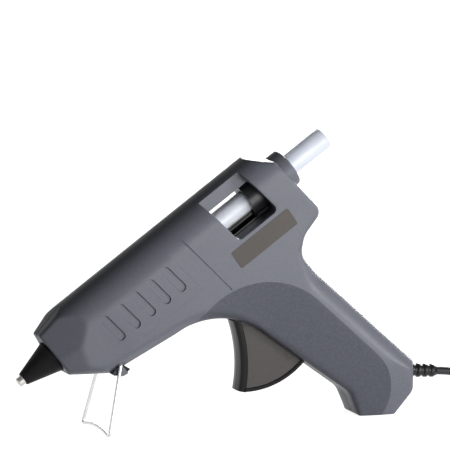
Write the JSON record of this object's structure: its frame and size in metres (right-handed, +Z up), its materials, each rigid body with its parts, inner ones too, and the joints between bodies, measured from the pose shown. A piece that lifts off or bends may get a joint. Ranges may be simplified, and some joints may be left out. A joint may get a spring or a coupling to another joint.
{
  "type": "hot glue applicator",
  "caption": "Trigger-fed hot glue applicator with a moulded two-part housing, nozzle, wire stand, glue stick, inner heater and feed, and a mains cord lying coiled.",
  "frame": {"origin": "on the surface that the applicator stands on, under the middle of its box without the cord", "axes": "+X from the nozzle to the handle's butt, +Y to the right half, +Z up"},
  "size_m": [0.3439, 0.0563, 0.1476],
  "materials": {
    "housing": "fine-textured dark grey moulding",
    "plate": "plain dark film",
    "steel": "zinc plated",
    "bright_metal": "turned and cast",
    "black_rubber": "satin black",
    "brown_moulding": "heat-proof moulding",
    "ceramic": "fired ceramic",
    "brass": "plain",
    "red_rubber": "silicone",
    "glue": "milky, translucent",
    "black_moulding": "satin black",
    "trigger": "glossy front, matt sides",
    "wire": "bright bent wire",
    "cord": "satin dark grey sheath",
    "brown_lead": "insulation",
    "blue_lead": "insulation",
    "plug": "satin black moulding",
    "pins": "nickel plated"
  },
  "bodies": {
    "housing": {"left_shell": "housing", "right_shell": "housing", "shell_screws": "steel", "rating_plate": "plate", "nozzle": "bright_metal", "nozzle_sleeve": "black_rubber", "front_bush": "brown_moulding", "melt_chamber": "bright_metal", "ptc_heater": "ceramic", "electrode_plates": "brass", "heater_wedge": "ceramic", "inlet_sleeve": "red_rubber", "sleeve_clamp": "steel", "trigger_pin": "steel", "return_spring": "steel", "strain_relief": "black_rubber", "cord_tail": "cord", "cord_clamp": "black_moulding", "clamp_screws": "steel", "live_lead": "brown_lead", "neutral_lead": "blue_lead", "wire_crimps": "brass", "power_cord": "cord", "cord_coil": "cord", "coil_tie": "black_moulding", "plug_body": "plug", "plug_pins": "pins"},
    "trigger": {"trigger": "trigger"},
    "carriage": {"feed_carriage": "black_moulding", "carriage_pin": "steel", "jaw_pin": "steel"},
    "jaw": {"grip_jaw": "steel"},
    "stick": {"glue_stick": "glue"},
    "stand": {"wire_stand": "wire"}
  },
  "joints": [
    {"name": "trigger_pull", "type": "hinge", "parent": "housing", "child": "trigger", "pos_m": [0.01519, 0, 0.0584], "axis": [0, -1, 0], "range_deg": [0, 25], "stiffness_Nm_per_rad": 0.15, "springref_deg": -34.38, "deforming": ["return_spring"]},
    {"name": "carriage_feed", "type": "slide", "parent": "housing", "child": "carriage", "axis": [-0.8192, 0, -0.5736], "range_m": [0, 0.01415]},
    {"name": "jaw_bite", "type": "hinge", "parent": "carriage", "child": "jaw", "pos_m": [0.02578, 0, 0.10464], "axis": [0, -1, 0], "range_deg": [0, 4.05]},
    {"name": "stick_load", "type": "slide", "parent": "carriage", "child": "stick", "axis": [0.8192, 0, 0.5736], "range_m": [0, 0.12]},
    {"name": "stand_fold", "type": "hinge", "parent": "housing", "child": "stand", "pos_m": [-0.05584, 0, 0.03711], "axis": [0, -1, 0], "range_deg": [0, 112]}
  ],
  "couplings": [
    {"joint": "carriage_feed", "follows": "trigger_pull", "m_per_rad": 0.032315},
    {"joint": "jaw_bite", "follows": "trigger_pull", "ratio": 0.16}
  ]
}
